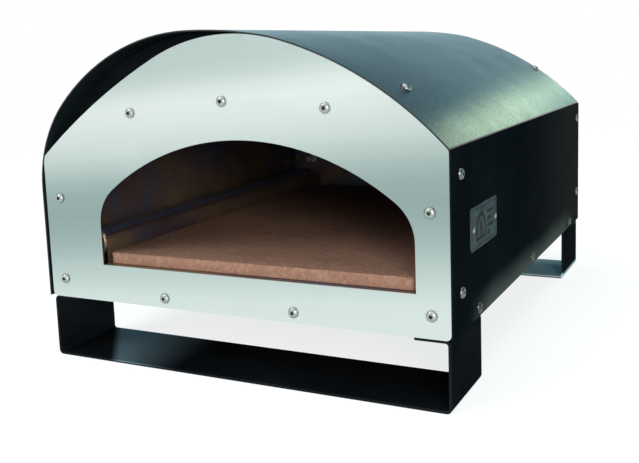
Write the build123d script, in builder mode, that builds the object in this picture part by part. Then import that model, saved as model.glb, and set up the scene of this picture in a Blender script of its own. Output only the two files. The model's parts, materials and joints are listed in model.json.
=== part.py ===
# Countertop gas pizza oven with a side burner.
#
# Frame: +Z up, the mouth faces -Y, +X is to the right of someone facing the mouth.
# The origin is at the centre of the object's footprint, on the surface it stands on.
# The geometry below is laid out about the casing's own centreline, and every finished
# piece is shifted by (SHIFT_X, SHIFT_Y) when it is saved.
from build123d import *
from math import acos, atan2, cos, degrees, hypot, radians, sin, sqrt
import os

os.makedirs("parts", exist_ok=True)

# ------------------------------------------------------------------ driving sizes (mm)
SHIFT_X, SHIFT_Y = 1.45, -11.925

T = 1.2                      # casing sheet
Z_BODY = 59.5                # underside of the casing
Z_CURL = 164.3               # where the left wall starts to curl into the roof
Z_PEAK = 301.5               # top of the front plate
Y_FRONT, Y_REAR = -265.5, 265.5

# front plate arch: a crown arc between two flatter flank arcs, all tangent; the peak is right of the centre, as the mouth is
X_PEAK = 10.0
R_CROWN, X_CROWN, R_FLANK = 171.7, 50.0, 316.2
X_CROWN_LEFT, R_FLANK_LEFT = 75.0, 603.0
PLATE_HALF = 199.6
PLATE_T = 1.5
Y_PLATE = -265.0             # front face of the plate
ROOF_GAP = 0.3               # plate edge to the roof's inner face

# casing outline: the roof follows the plate on the right and bulges over the burner on the left
LEFT_OUT, RIGHT_OUT = -204.0, 201.1
R_CORNER = 117.9
X_APEX, Z_APEX = -29.7, 306.5

# mouth in the front plate: a wide arc with a tighter one at each end
MOUTH_X, MOUTH_HALF = 18.0, 153.7
Z_LIP, Z_SPRING, Z_MOUTH_TOP = 94.5, 133.5, 213.0
R_MOUTH = 225.0

# cooking chamber
VAULT_T = 1.0
VAULT_L, VAULT_R = -176.0, 175.0     # inner faces of the side walls
Z_VAULT_SPRING, Z_VAULT_TOP = 180.0, 231.0
Y_BULK = -235.5              # front face of the recessed bulkhead
Y_BACK = 210.5               # front face of the chamber's back wall
Z_FLOOR = 81.5               # top of the chamber's floor sheet

# stone
STONE_L, STONE_R = -132.5, 169.5
STONE_Y0, STONE_Y1 = -257.5, 172.5
Z_STONE0, Z_STONE1 = 95.1, 105.1

# burner
BX, BZ, B_R = -158.0, 111.5, 14.0

# gas control on the rear panel
Y_PANEL = 261.5              # inner face of the rear panel
KX, KZ = -100.0, 146.5       # valve and knob axis
NX, NZ = -100.0, 98.5        # gas inlet axis
PUSH = 4.0                   # knob's push travel

# strap legs
LEG_W, LEG_T, LEG_HALF, LEG_FLANGE = 84.0, 2.5, 199.0, 30.0

# fasteners, M5 button heads with a 3 mm hex socket
SCREW_R, HEAD_R, HEAD_H = 2.5, 4.75, 2.75
CLEAR_R = 2.7
FRONT_SCREWS = [
    (-93.5, 236.5), (3.0, 245.8), (99.0, 239.5),
    (-183.0, 156.0), (184.0, 159.0), (-183.5, 77.4), (184.0, 78.0),
    (-67.5, 68.4), (63.5, 68.6),
]
Y_COL_FRONT, Y_COL_REAR = -242.5, 249.0
SIDE_COLUMN = [(Y_COL_FRONT, 186.4), (Y_COL_FRONT, 92.7), (Y_COL_REAR, 189.5), (Y_COL_REAR, 97.0)]
LEFT_COLUMN = [(Y_COL_FRONT, 152.0), (Y_COL_FRONT, 92.7), (Y_COL_REAR, 152.0), (Y_COL_REAR, 97.0)]
SIDE_ROW = [(-195.0, 67.6), (0.0, 67.6), (200.0, 67.6)]
ROOF_SCREW_X = (-110.0, 150.0)
ROOF_SCREW_Y = (-218.0, 252.0)
LEG_BOLTS = [(x, y) for x in (-184.0, 184.0) for y in (-247.0, -198.0, 198.0, 247.0)]

# ------------------------------------------------------------------ outline geometry
CROWN_C = (X_PEAK, Z_PEAK - R_CROWN)
CROWN_P = (X_PEAK + X_CROWN, CROWN_C[1] + sqrt(R_CROWN**2 - X_CROWN**2))
CROWN_A = atan2(CROWN_P[1] - CROWN_C[1], X_CROWN)
FLANK_C = (CROWN_P[0] - R_FLANK * cos(CROWN_A), CROWN_P[1] - R_FLANK * sin(CROWN_A))
CROWN_Q = (X_PEAK - X_CROWN_LEFT, CROWN_C[1] + sqrt(R_CROWN**2 - X_CROWN_LEFT**2))
CROWN_B = atan2(CROWN_Q[1] - CROWN_C[1], -X_CROWN_LEFT)
FLANK_D = (CROWN_Q[0] - R_FLANK_LEFT * cos(CROWN_B), CROWN_Q[1] - R_FLANK_LEFT * sin(CROWN_B))

G = ROOF_GAP + T                                  # roof's outer face above the plate's arch
CORNER_C = (LEFT_OUT + R_CORNER, Z_CURL)
dx, dz = X_APEX - CORNER_C[0], Z_APEX - Z_CURL
R_BACK = (dx**2 + dz**2 - R_CORNER**2) / (2 * (dz - R_CORNER))
BACK_C = (X_APEX, Z_APEX - R_BACK)
CORNER_A = atan2(CORNER_C[1] - BACK_C[1], CORNER_C[0] - BACK_C[0])
R_ROOF = R_CROWN + G
dz = Z_APEX - CROWN_C[1]
R_TOP = ((X_APEX - X_PEAK)**2 + dz**2 - R_ROOF**2) / (2 * (dz - R_ROOF))
TOP_C = (X_APEX, Z_APEX - R_TOP)
TOP_A = atan2(CROWN_C[1] - TOP_C[1], CROWN_C[0] - TOP_C[0])


def on(centre, radius, angle):
    return (centre[0] + radius * cos(angle), centre[1] + radius * sin(angle))


def arc(centre, radius, a0, a1):
    """An arc from angle a0 to a1 about a centre, in the active BuildLine."""
    ThreePointArc(on(centre, radius, a0), on(centre, radius, (a0 + a1) / 2), on(centre, radius, a1))


def roof_chain(d, x_left, z_left, x_right):
    """Left wall and roof, d inside the casing's outer face, from (x_left, z_left) to x_right. Returns the right end."""
    pi = radians(180)
    a_end = acos((x_right - FLANK_C[0]) / (R_FLANK + G - d))
    Line((x_left, z_left), (x_left, Z_CURL))
    if abs(x_left - (LEFT_OUT + d)) > 1e-6:
        Line((x_left, Z_CURL), (LEFT_OUT + d, Z_CURL))
    arc(CORNER_C, R_CORNER - d, pi, CORNER_A)
    arc(BACK_C, R_BACK - d, CORNER_A, pi / 2)
    arc(TOP_C, R_TOP - d, pi / 2, TOP_A)
    arc(CROWN_C, R_ROOF - d, TOP_A, CROWN_A)
    arc(FLANK_C, R_FLANK + G - d, CROWN_A, a_end)
    return on(FLANK_C, R_FLANK + G - d, a_end)


def inside(d, right, bottom):
    """The casing's cross-section, d inside its outer face on the left and over the roof, as a sketch on XZ."""
    with BuildSketch(Plane.XY) as region:
        with BuildLine():
            end = roof_chain(d, LEFT_OUT + d, bottom, right)
            Polyline(end, (right, bottom), (LEFT_OUT + d, bottom))
        make_face()
    return region.sketch


def vault(grow, bottom):
    """The cooking chamber's cross-section, grown outwards."""
    mid = (VAULT_L + VAULT_R) / 2
    with BuildSketch(Plane.XY) as region:
        with BuildLine():
            Line((VAULT_L, bottom - 40), (VAULT_L, Z_VAULT_SPRING))
            ThreePointArc((VAULT_L, Z_VAULT_SPRING), (mid, Z_VAULT_TOP), (VAULT_R, Z_VAULT_SPRING))
            Polyline((VAULT_R, Z_VAULT_SPRING), (VAULT_R, bottom - 40), (VAULT_L, bottom - 40))
        make_face()
        fillet(region.vertices().group_by(Axis.Y)[-1], radius=16)
        if grow:
            offset(amount=grow, kind=Kind.INTERSECTION)
        with Locations((0, bottom - 100)):
            Rectangle(600, 200, mode=Mode.SUBTRACT)
    return region.sketch


def plate_outline(grow):
    """The front plate's outline with its rounded corners, grown outwards."""
    a_end = acos((PLATE_HALF - FLANK_C[0]) / R_FLANK)
    a_start = acos((-PLATE_HALF - FLANK_D[0]) / R_FLANK_LEFT)
    start, end = on(FLANK_D, R_FLANK_LEFT, a_start), on(FLANK_C, R_FLANK, a_end)
    with BuildSketch(Plane.XY) as region:
        with BuildLine():
            arc(FLANK_D, R_FLANK_LEFT, a_start, CROWN_B)
            arc(CROWN_C, R_CROWN, CROWN_B, CROWN_A)
            arc(FLANK_C, R_FLANK, CROWN_A, a_end)
            Polyline(end, (PLATE_HALF, Z_BODY), (-PLATE_HALF, Z_BODY), start)
        make_face()
        fillet(region.vertices().group_by(Axis.Y)[0], radius=4.5)
        fillet(region.vertices().filter_by(lambda v: abs(abs(v.X) - PLATE_HALF) < 0.01 and v.Y > 150), radius=6)
        if grow:
            offset(amount=grow, kind=Kind.INTERSECTION)
    return region.sketch


def at_y(y):
    """Sketch plane facing the front, local axes X and Z; extrude with a negative amount goes to the rear."""
    return Plane(origin=(0, y, 0), x_dir=(1, 0, 0), z_dir=(0, -1, 0))


def at_x(x):
    """Sketch plane facing right, local axes Y and Z."""
    return Plane(origin=(x, 0, 0), x_dir=(0, 1, 0), z_dir=(1, 0, 0))


FRONT_ROT, REAR_ROT, RIGHT_ROT, LEFT_ROT, DOWN_ROT = (90, 0, 0), (-90, 0, 0), (0, 90, 0), (0, -90, 0), (180, 0, 0)


def roof_spot(x, y, d):
    """A place on the roof, d inside its outer face, with Z along the outward normal."""
    centre, radius = (BACK_C, R_BACK) if x < X_APEX else (FLANK_C, R_FLANK + G)
    a = acos((x - centre[0]) / radius)
    px, pz = on(centre, radius - d, a)
    return Location((px, y, pz), (0, 90 - degrees(a), 0))


saved = {}


def save(builder, name):
    """Moves a finished piece into the object's frame, labels it and writes it."""
    piece = builder.part.moved(Location((SHIFT_X, SHIFT_Y, 0)))
    piece.label = name
    export_step(piece, f"parts/{name}.step")
    saved[name] = piece


# ------------------------------------------------------------------ casing
with BuildPart() as outer_shell:
    with BuildSketch(at_y(Y_FRONT)):
        with BuildLine():
            x_out = RIGHT_OUT - T - 0.1
            outer_end = roof_chain(0, LEFT_OUT, Z_BODY, x_out)
            inner_end = roof_chain(T, LEFT_OUT + T, Z_BODY, x_out - T)
            Polyline(outer_end, (x_out, outer_end[1] - 9), (x_out - T, outer_end[1] - 9), inner_end)
            Line((LEFT_OUT, Z_BODY), (LEFT_OUT + T, Z_BODY))
        make_face()
    extrude(amount=-(Y_REAR - Y_FRONT))
    # the turned-down edge on the right starts behind the front plate
    with BuildSketch(at_y(Y_FRONT - 1)):
        add(plate_outline(0.2))
        with Locations((-100, 200)):
            Rectangle(400, 400, mode=Mode.SUBTRACT)
    extrude(amount=-(Y_PLATE + PLATE_T + 0.3 - Y_FRONT + 1), mode=Mode.SUBTRACT)
    with BuildSketch(at_x(LEFT_OUT)):
        with Locations(*LEFT_COLUMN, *SIDE_ROW):
            Circle(CLEAR_R)
    extrude(amount=3, both=True, mode=Mode.SUBTRACT)
    with Locations(*[roof_spot(x, y, 0) for x in ROOF_SCREW_X for y in ROOF_SCREW_Y]):
        Cylinder(CLEAR_R, 6, mode=Mode.SUBTRACT)
save(outer_shell, "outer_shell")

BADGE = dict(y0=-217.5, y1=-139.5, z0=118.3, z1=154.3, t=1.0)
BADGE_RIVETS = [(BADGE["y0"] + 5.5, 136.3), (BADGE["y1"] - 5.5, 136.3)]

with BuildPart() as right_side_panel:
    with BuildSketch(at_x(RIGHT_OUT - T)):
        with Locations(((Y_FRONT + Y_REAR) / 2, (Z_BODY + 207.0) / 2)):
            Rectangle(Y_REAR - Y_FRONT, 207.0 - Z_BODY)
        with Locations(*SIDE_COLUMN, *SIDE_ROW):
            Circle(CLEAR_R, mode=Mode.SUBTRACT)
        with Locations(*BADGE_RIVETS):
            Circle(1.65, mode=Mode.SUBTRACT)
    extrude(amount=T)
save(right_side_panel, "right_side_panel")

PAN_L, PAN_R = LEFT_OUT + T + 0.1, RIGHT_OUT - T - 0.1
PAN_Y0, PAN_Y1, PAN_TOP = -262.0, Y_PANEL, 76.5
with BuildPart() as base_pan:
    with BuildSketch(Plane.XY.offset(Z_BODY)):
        with Locations(((PAN_L + PAN_R) / 2, (PAN_Y0 + PAN_Y1) / 2)):
            Rectangle(PAN_R - PAN_L, PAN_Y1 - PAN_Y0)
    extrude(amount=PAN_TOP - Z_BODY)
    with BuildSketch(Plane.XY.offset(Z_BODY + T)):
        with Locations(((PAN_L + PAN_R) / 2, (PAN_Y0 + PAN_Y1) / 2 - T)):
            Rectangle(PAN_R - PAN_L - 2 * T, PAN_Y1 - PAN_Y0)
    extrude(amount=PAN_TOP, mode=Mode.SUBTRACT)
    with BuildSketch(at_x(0)):
        with Locations(*SIDE_ROW):
            Circle(CLEAR_R)
    extrude(amount=300, both=True, mode=Mode.SUBTRACT)
    with BuildSketch(Plane.XY.offset(Z_BODY)):
        with Locations(*LEG_BOLTS):
            Circle(CLEAR_R)
        with Locations((BX, -20)):
            with GridLocations(0, 40, 1, 8):
                Circle(5)
    extrude(amount=T, mode=Mode.SUBTRACT)
save(base_pan, "base_pan")

FLANGE_R, FLANGE_L = RIGHT_OUT - T - 1.5, LEFT_OUT + T + 1.5
RIM = T + 0.3                     # bulkhead and rear panel sit this far inside the casing's outer face

with BuildPart() as front_bulkhead:
    with BuildSketch(at_y(Y_BULK)):
        add(inside(RIM, FLANGE_R, Z_BODY + T))
        with Locations((FLANGE_L - 50, 100)):
            Rectangle(100, 400, mode=Mode.SUBTRACT)
        add(vault(VAULT_T + 0.3, Z_FLOOR - T - 0.3), mode=Mode.SUBTRACT)
        with Locations(*FRONT_SCREWS):
            Circle(CLEAR_R, mode=Mode.SUBTRACT)
    extrude(amount=-T)
    # side flanges turned to the front, foot flange and roof tabs turned to the rear
    with BuildSketch(at_y(Y_BULK)):
        with Locations((FLANGE_L + T / 2, 123)):
            Rectangle(T, 84)
        with Locations((FLANGE_R - T / 2, 139)):
            Rectangle(T, 118)
    extrude(amount=18)
    with BuildSketch(at_y(Y_BULK + T)):
        with Locations((0, Z_BODY + T * 1.5)):
            Rectangle(300, T)
    extrude(amount=-16)
    with BuildSketch(at_y(Y_BULK + T)):
        add(inside(RIM, 190, 100))
        add(inside(RIM + T, 190, 100), mode=Mode.SUBTRACT)
        with Locations((ROOF_SCREW_X[0], 265), (ROOF_SCREW_X[1], 240)):
            Rectangle(30, 100, mode=Mode.INTERSECT)
    extrude(amount=-32)
    with BuildSketch(at_x(0)):
        with Locations(*SIDE_COLUMN[:2]):
            Circle(3.6)
    extrude(amount=300, mode=Mode.SUBTRACT)
    with BuildSketch(at_x(0)):
        with Locations(*LEFT_COLUMN[:2]):
            Circle(3.6)
    extrude(amount=-300, mode=Mode.SUBTRACT)
    with Locations(*[roof_spot(x, ROOF_SCREW_Y[0], 2) for x in ROOF_SCREW_X]):
        Cylinder(CLEAR_R, 8, mode=Mode.SUBTRACT)
save(front_bulkhead, "front_bulkhead")

with BuildPart() as rear_panel:
    with BuildSketch(at_y(Y_PANEL)):
        add(inside(RIM, FLANGE_R, Z_BODY + 0.2))
        with Locations((FLANGE_L - 50, 100)):
            Rectangle(100, 400, mode=Mode.SUBTRACT)
        with Locations((KX, KZ)):
            Circle(5.2, mode=Mode.SUBTRACT)
        with Locations((NX, NZ)):
            Circle(6.5, mode=Mode.SUBTRACT)
        with Locations((60, 120)):
            with GridLocations(34, 13, 6, 5):
                SlotOverall(26, 5, mode=Mode.SUBTRACT)
        with Locations((-158, 92)):
            with GridLocations(0, 12, 1, 3):
                SlotOverall(44, 5, mode=Mode.SUBTRACT)
    extrude(amount=-T)
    with BuildSketch(at_y(Y_PANEL)):
        with Locations((FLANGE_L + T / 2, 123)):
            Rectangle(T, 84)
        with Locations((FLANGE_R - T / 2, 139)):
            Rectangle(T, 118)
    extrude(amount=20)
    with BuildSketch(at_y(Y_PANEL)):
        add(inside(RIM, 190, 100))
        add(inside(RIM + T, 190, 100), mode=Mode.SUBTRACT)
        with Locations((ROOF_SCREW_X[0], 265), (ROOF_SCREW_X[1], 240)):
            Rectangle(30, 100, mode=Mode.INTERSECT)
    extrude(amount=18)
    with BuildSketch(at_x(0)):
        with Locations(*SIDE_COLUMN[2:]):
            Circle(3.6)
    extrude(amount=300, mode=Mode.SUBTRACT)
    with BuildSketch(at_x(0)):
        with Locations(*LEFT_COLUMN[2:]):
            Circle(3.6)
    extrude(amount=-300, mode=Mode.SUBTRACT)
    with Locations(*[roof_spot(x, ROOF_SCREW_Y[1], 2) for x in ROOF_SCREW_X]):
        Cylinder(CLEAR_R, 8, mode=Mode.SUBTRACT)
save(rear_panel, "rear_panel")

with BuildPart() as front_plate:
    with BuildSketch(at_y(Y_PLATE)):
        add(plate_outline(0))
        with BuildLine():
            rise = Z_SPRING - (Z_MOUTH_TOP - R_MOUTH)
            r_end = (R_MOUTH**2 - MOUTH_HALF**2 - rise**2) / (2 * (R_MOUTH - MOUTH_HALF))
            crown = (MOUTH_X, Z_MOUTH_TOP - R_MOUTH)
            lean = atan2(rise, MOUTH_HALF - r_end)
            pi = radians(180)
            left, right = MOUTH_X - MOUTH_HALF, MOUTH_X + MOUTH_HALF
            arc((left + r_end, Z_SPRING), r_end, pi, pi - lean)
            arc(crown, R_MOUTH, pi - lean, lean)
            arc((right - r_end, Z_SPRING), r_end, lean, 0)
            Polyline((right, Z_SPRING), (right, Z_LIP), (left, Z_LIP), (left, Z_SPRING))
        make_face(mode=Mode.SUBTRACT)
        with Locations(*FRONT_SCREWS):
            Circle(CLEAR_R, mode=Mode.SUBTRACT)
    extrude(amount=-PLATE_T)
save(front_plate, "front_plate")

for name, y0 in (("front_leg", Y_FRONT + 1.0), ("rear_leg", Y_REAR - 1.0 - LEG_W)):
    with BuildPart() as leg:
        with BuildSketch(at_y(y0)) as strap:
            h, f, t, z = LEG_HALF, LEG_FLANGE, LEG_T, Z_BODY
            with BuildLine():
                Polyline(
                    (h - f, z), (h, z), (h, 0), (-h, 0), (-h, z), (f - h, z),
                    (f - h, z - t), (t - h, z - t), (t - h, t), (h - t, t), (h - t, z - t), (h - f, z - t),
                    close=True,
                )
            make_face()
            fillet(strap.vertices().filter_by(lambda v: abs(abs(v.X) - h) < 0.01), radius=5)
            fillet(strap.vertices().filter_by(lambda v: abs(abs(v.X) - (h - t)) < 0.01), radius=2.5)
        extrude(amount=-LEG_W)
        with BuildSketch(Plane.XY.offset(z - t)):
            with Locations(*[p for p in LEG_BOLTS if y0 < p[1] < y0 + LEG_W]):
                Circle(CLEAR_R)
        extrude(amount=t, mode=Mode.SUBTRACT)
    save(leg, name)

with BuildPart() as badge_plate:
    with BuildSketch(at_x(RIGHT_OUT)) as badge_sketch:
        with Locations(((BADGE["y0"] + BADGE["y1"]) / 2, (BADGE["z0"] + BADGE["z1"]) / 2)):
            RectangleRounded(BADGE["y1"] - BADGE["y0"], BADGE["z1"] - BADGE["z0"], 3.5)
        with Locations(*BADGE_RIVETS):
            Circle(1.65, mode=Mode.SUBTRACT)
    extrude(amount=BADGE["t"])
save(badge_plate, "badge_plate")

# ------------------------------------------------------------------ cooking chamber
with BuildPart() as inner_vault:
    with BuildSketch(at_y(Y_PLATE + PLATE_T + 0.1)):
        add(vault(VAULT_T, Z_FLOOR))
        add(vault(0, Z_FLOOR - 1), mode=Mode.SUBTRACT)
    extrude(amount=-(Y_BACK - (Y_PLATE + PLATE_T + 0.1)))
save(inner_vault, "inner_vault")

IGN_X, TC_X, PROBE_Z = -146.0, -169.0, 137.5
with BuildPart() as inner_back_wall:
    with BuildSketch(at_y(Y_BACK)):
        add(vault(9, 70))
        with Locations((BX, BZ)):
            Circle(11.4, mode=Mode.SUBTRACT)
        with Locations((IGN_X, PROBE_Z)):
            Circle(3.3, mode=Mode.SUBTRACT)
        with Locations((TC_X, PROBE_Z)):
            Circle(2.3, mode=Mode.SUBTRACT)
    extrude(amount=-VAULT_T)
save(inner_back_wall, "inner_back_wall")

with BuildPart() as inner_floor:
    with BuildSketch(Plane.XY.offset(Z_FLOOR - T)):
        with Locations(((VAULT_L + VAULT_R) / 2, (Y_PLATE + 2 + Y_BACK) / 2)):
            Rectangle(VAULT_R - VAULT_L + 2 * VAULT_T, Y_BACK - Y_PLATE - 2)
        with Locations((BX, -20)):
            with GridLocations(0, 40, 1, 8):
                Circle(4, mode=Mode.SUBTRACT)
    extrude(amount=T)
save(inner_floor, "inner_floor")

with BuildPart() as floor_supports:
    for y in (-185.0, 150.0):
        with BuildSketch(at_x(-176)):
            with Locations((y, (Z_BODY + Z_FLOOR) / 2)):
                Rectangle(20, Z_FLOOR - Z_BODY - 2 * T)
            with Locations((y, (Z_BODY + Z_FLOOR) / 2 - T)):
                Rectangle(20 - 2 * T, Z_FLOOR - Z_BODY - 2 * T, mode=Mode.SUBTRACT)
        extrude(amount=352)
save(floor_supports, "floor_supports")

with BuildPart() as stone_rails:
    for x in (-110.0, 149.0):
        with BuildSketch(at_y(-252)):
            with Locations((x, (Z_FLOOR + Z_STONE0 - 0.1) / 2)):
                Rectangle(10, Z_STONE0 - 0.1 - Z_FLOOR)
        extrude(amount=-416)
save(stone_rails, "stone_rails")

with BuildPart() as pizza_stone:
    with BuildSketch(Plane.XY.offset(Z_STONE0)) as stone_sketch:
        with Locations(((STONE_L + STONE_R) / 2, (STONE_Y0 + STONE_Y1) / 2)):
            RectangleRounded(STONE_R - STONE_L, STONE_Y1 - STONE_Y0, 4)
    extrude(amount=Z_STONE1 - Z_STONE0)
    chamfer(pizza_stone.edges().group_by(Axis.Z)[-1], length=0.8)
save(pizza_stone, "pizza_stone")

with BuildPart() as insulation_blanket:
    with BuildSketch(at_y(-201)):
        add(inside(3.0, 197, 84))
        add(vault(VAULT_T + 0.5, 66), mode=Mode.SUBTRACT)
    extrude(amount=-408)
save(insulation_blanket, "insulation_blanket")

with BuildPart() as base_insulation:
    with BuildSketch(Plane.XY.offset(Z_BODY + T)):
        with Locations((17, -17.5)):
            Rectangle(312, 313)
    extrude(amount=17.4)
save(base_insulation, "base_insulation")

# ------------------------------------------------------------------ burner
with BuildPart() as burner_tube:
    with BuildSketch(Plane(origin=(BX, 0, BZ), x_dir=(0, 1, 0), z_dir=(1, 0, 0))):
        with BuildLine():
            Polyline(
                (-249, 0), (-249, B_R - 2), (-247, B_R), (173.5, B_R), (191.5, 11.0), (217.5, 11.0), (221.5, 13.0),
                (221.5, 12.0), (217.9, 10.0), (191.5, 10.0), (173.1, B_R - 1), (-246.5, B_R - 1), (-248, B_R - 2.4), (-248, 0),
                close=True,
            )
        make_face()
    revolve(axis=Axis((BX, 0, BZ), (0, 1, 0)))
    # two rows of flame slots, one facing up and one facing the chamber
    for tilt in (10.0, 52.0):
        with BuildSketch(Plane(origin=(BX, -38, BZ), x_dir=(0, 1, 0), z_dir=(sin(radians(tilt)), 0, cos(radians(tilt))))):
            with GridLocations(12.4, 0, 33, 1):
                SlotOverall(8.0, 1.8, rotation=90)
        extrude(amount=B_R + 2, mode=Mode.SUBTRACT)
save(burner_tube, "burner_tube")

with BuildPart() as burner_guard:
    with BuildSketch(at_y(-255)):
        with BuildLine():
            Polyline(
                (-136.8, Z_FLOOR), (-136.8, 116.5), (-139.8, 119.0), (-140.6, 118.0), (-138.0, 115.9), (-138.0, Z_FLOOR + T),
                (-143.0, Z_FLOOR + T), (-143.0, Z_FLOOR),
                close=True,
            )
        make_face()
    extrude(amount=-462)
    with BuildSketch(at_x(-150)):
        with Locations((-24, 89)):
            with GridLocations(26, 0, 17, 1):
                SlotOverall(14, 4)
    extrude(amount=20, mode=Mode.SUBTRACT)
save(burner_guard, "burner_guard")

with BuildPart() as burner_brackets:
    # saddle brackets under the tube, standing on the floor sheet
    for y in (-205.0, 125.0):
        with BuildSketch(at_y(y)):
            with Locations((BX, (Z_FLOOR + BZ - 6) / 2)):
                Rectangle(25, BZ - 6 - Z_FLOOR)
            with Locations((BX, BZ)):
                Circle(B_R + 0.1, mode=Mode.SUBTRACT)
        extrude(amount=-1.5)
        with BuildSketch(at_y(y)):
            with Locations((BX, Z_FLOOR + 0.75)):
                Rectangle(25, 1.5)
        extrude(amount=-14)
save(burner_brackets, "burner_brackets")

with BuildPart() as jet_holder:
    with Locations((BX, 233.5, BZ)):
        Box(14, 14, 14)
    fillet(jet_holder.edges().filter_by(Axis.Y), radius=2)
    with Locations(Location((BX, 226.5, BZ), FRONT_ROT)):
        Cylinder(3.9, 3, align=(Align.CENTER, Align.CENTER, Align.MIN))
save(jet_holder, "jet_holder")

with BuildPart() as burner_jet:
    with Locations(Location((BX, 223.5, BZ), FRONT_ROT)):
        Cylinder(3.2, 3, align=(Align.CENTER, Align.CENTER, Align.MIN))
    with Locations(Location((BX, 220.5, BZ), FRONT_ROT)):
        Cone(3.0, 1.6, 3, align=(Align.CENTER, Align.CENTER, Align.MIN))
    with Locations(Location((BX, 217.5, BZ), FRONT_ROT)):
        Cylinder(0.5, 3, align=(Align.CENTER, Align.CENTER, Align.MAX), mode=Mode.SUBTRACT)
save(burner_jet, "burner_jet")

# ------------------------------------------------------------------ gas control
VY0, VY1 = 223.5, 241.5
with BuildPart() as valve_body:
    with Locations((KX, (VY0 + VY1) / 2, KZ)):
        Box(28, VY1 - VY0, 28)
    fillet(valve_body.edges().filter_by(Axis.Y), radius=3)
    with Locations(Location((KX, VY0 + 10, KZ - 14), DOWN_ROT)):
        Cylinder(7, 8, align=(Align.CENTER, Align.CENTER, Align.MIN))
    with Locations(Location((KX - 14, VY0 + 10, KZ), LEFT_ROT)):
        Cylinder(5.5, 8, align=(Align.CENTER, Align.CENTER, Align.MIN))
    with Locations(Location((KX, VY0 + 4, KZ), REAR_ROT)):
        Cone(6.05, 8.05, VY1 - VY0 - 4, align=(Align.CENTER, Align.CENTER, Align.MIN), mode=Mode.SUBTRACT)
save(valve_body, "valve_body")

with BuildPart() as valve_plug:
    with Locations(Location((KX, VY0 + 4.1, KZ), REAR_ROT)):
        Cone(6.0, 7.97, VY1 - VY0 - 4.2, align=(Align.CENTER, Align.CENTER, Align.MIN))
    # slot for the stem's tang, and the gas port
    with BuildSketch(Plane(origin=(KX, VY1, KZ), x_dir=(1, 0, 0), z_dir=(0, -1, 0))):
        Circle(3.1)
        Rectangle(4.2, 8, mode=Mode.INTERSECT)
    extrude(amount=12, mode=Mode.SUBTRACT)
    with Locations(Location((KX, VY0 + 9, KZ), (0, 90, 0))):
        Cylinder(1.8, 30, mode=Mode.SUBTRACT)
save(valve_plug, "valve_plug")

with BuildPart() as valve_bonnet:
    with Locations((KX, VY1 + 3, KZ)):
        Box(28, 6, 28)
    fillet(valve_bonnet.edges().filter_by(Axis.Y), radius=3)
    with Locations(Location((KX, VY1 + 6, KZ), REAR_ROT)):
        Cylinder(9, Y_PANEL - VY1 - 6, align=(Align.CENTER, Align.CENTER, Align.MIN))
    with Locations(Location((KX, Y_PANEL, KZ), REAR_ROT)):
        Cylinder(5, 7.5, align=(Align.CENTER, Align.CENTER, Align.MIN))
    with Locations(Location((KX, VY1 - 1, KZ), REAR_ROT)):
        Cylinder(3.05, 60, align=(Align.CENTER, Align.CENTER, Align.MIN), mode=Mode.SUBTRACT)
    with Locations(*[Location((KX + sx * 10.5, VY1 - 1, KZ + sz * 10.5), REAR_ROT) for sx in (-1, 1) for sz in (-1, 1)]):
        Cylinder(1.6, 10, align=(Align.CENTER, Align.CENTER, Align.MIN), mode=Mode.SUBTRACT)
save(valve_bonnet, "valve_bonnet")

with BuildPart() as valve_stem:
    with Locations(Location((KX, VY0 + 10.5, KZ), REAR_ROT)):
        Cylinder(3.0, 51.5, align=(Align.CENTER, Align.CENTER, Align.MIN))
    # tang: two flats at the plug end
    for s in (-1, 1):
        with Locations((KX + s * (2.0 + 2), VY0 + 16.5, KZ)):
            Box(4, 12.0, 8, mode=Mode.SUBTRACT)
    # D flat at the knob end
    with Locations((KX, VY0 + 54, KZ + 2.0 + 2)):
        Box(8, 20, 4, mode=Mode.SUBTRACT)
    chamfer(valve_stem.edges().group_by(Axis.Y)[-1], length=0.4)
save(valve_stem, "valve_stem")

KY0, KY1 = VY0 + 46, VY0 + 68
with BuildPart() as control_knob:
    with BuildSketch(Plane(origin=(KX, 0, KZ), x_dir=(0, 1, 0), z_dir=(1, 0, 0))) as knob_half:
        with BuildLine():
            Polyline((KY0, 0), (KY0, 22), (KY0 + 3, 22), (KY0 + 6, 18.5), (KY1, 16.5), (KY1, 0), close=True)
        make_face()
        fillet(knob_half.vertices().sort_by(Axis.X)[-2:].sort_by(Axis.Y)[-1:], radius=1.8)
    revolve(axis=Axis((KX, 0, KZ), (0, 1, 0)))
    # grip scallops
    with Locations(Location((KX, KY0 + 6.0, KZ), REAR_ROT)):
        with PolarLocations(21.2, 14, start_angle=90 + 360 / 28):
            Cylinder(4.2, 30, align=(Align.CENTER, Align.CENTER, Align.MIN), mode=Mode.SUBTRACT)
    # recess over the valve nut, and the D bore
    with Locations(Location((KX, KY0, KZ), REAR_ROT)):
        Cylinder(10.5, 6, align=(Align.CENTER, Align.CENTER, Align.MIN), mode=Mode.SUBTRACT)
    with BuildSketch(Plane(origin=(KX, KY0 + 5, KZ), x_dir=(-1, 0, 0), z_dir=(0, 1, 0))):
        Circle(3.05)
        with Locations((0, 2.05 + 3)):
            Rectangle(8, 6, mode=Mode.SUBTRACT)
    extrude(amount=11.3, mode=Mode.SUBTRACT)
    # groove for the pointer
    with Locations((KX, KY1 - 0.4, KZ + 9.5)):
        Box(2.4, 0.8 + 0.001, 9, mode=Mode.SUBTRACT)
save(control_knob, "control_knob")

with BuildPart() as knob_pointer:
    with Locations((KX, KY1 - 0.4 + 0.1, KZ + 9.5)):
        Box(2.4, 0.8, 9)
save(knob_pointer, "knob_pointer")

with BuildPart() as knob_bezel:
    with BuildSketch(at_y(Y_PANEL + T)):
        with Locations((KX, KZ)):
            Circle(31)
            Circle(5.2, mode=Mode.SUBTRACT)
    extrude(amount=-1.0)
    chamfer(knob_bezel.edges().group_by(Axis.Y)[-1].sort_by(SortBy.LENGTH)[-1], length=0.4)
save(knob_bezel, "knob_bezel")

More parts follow.
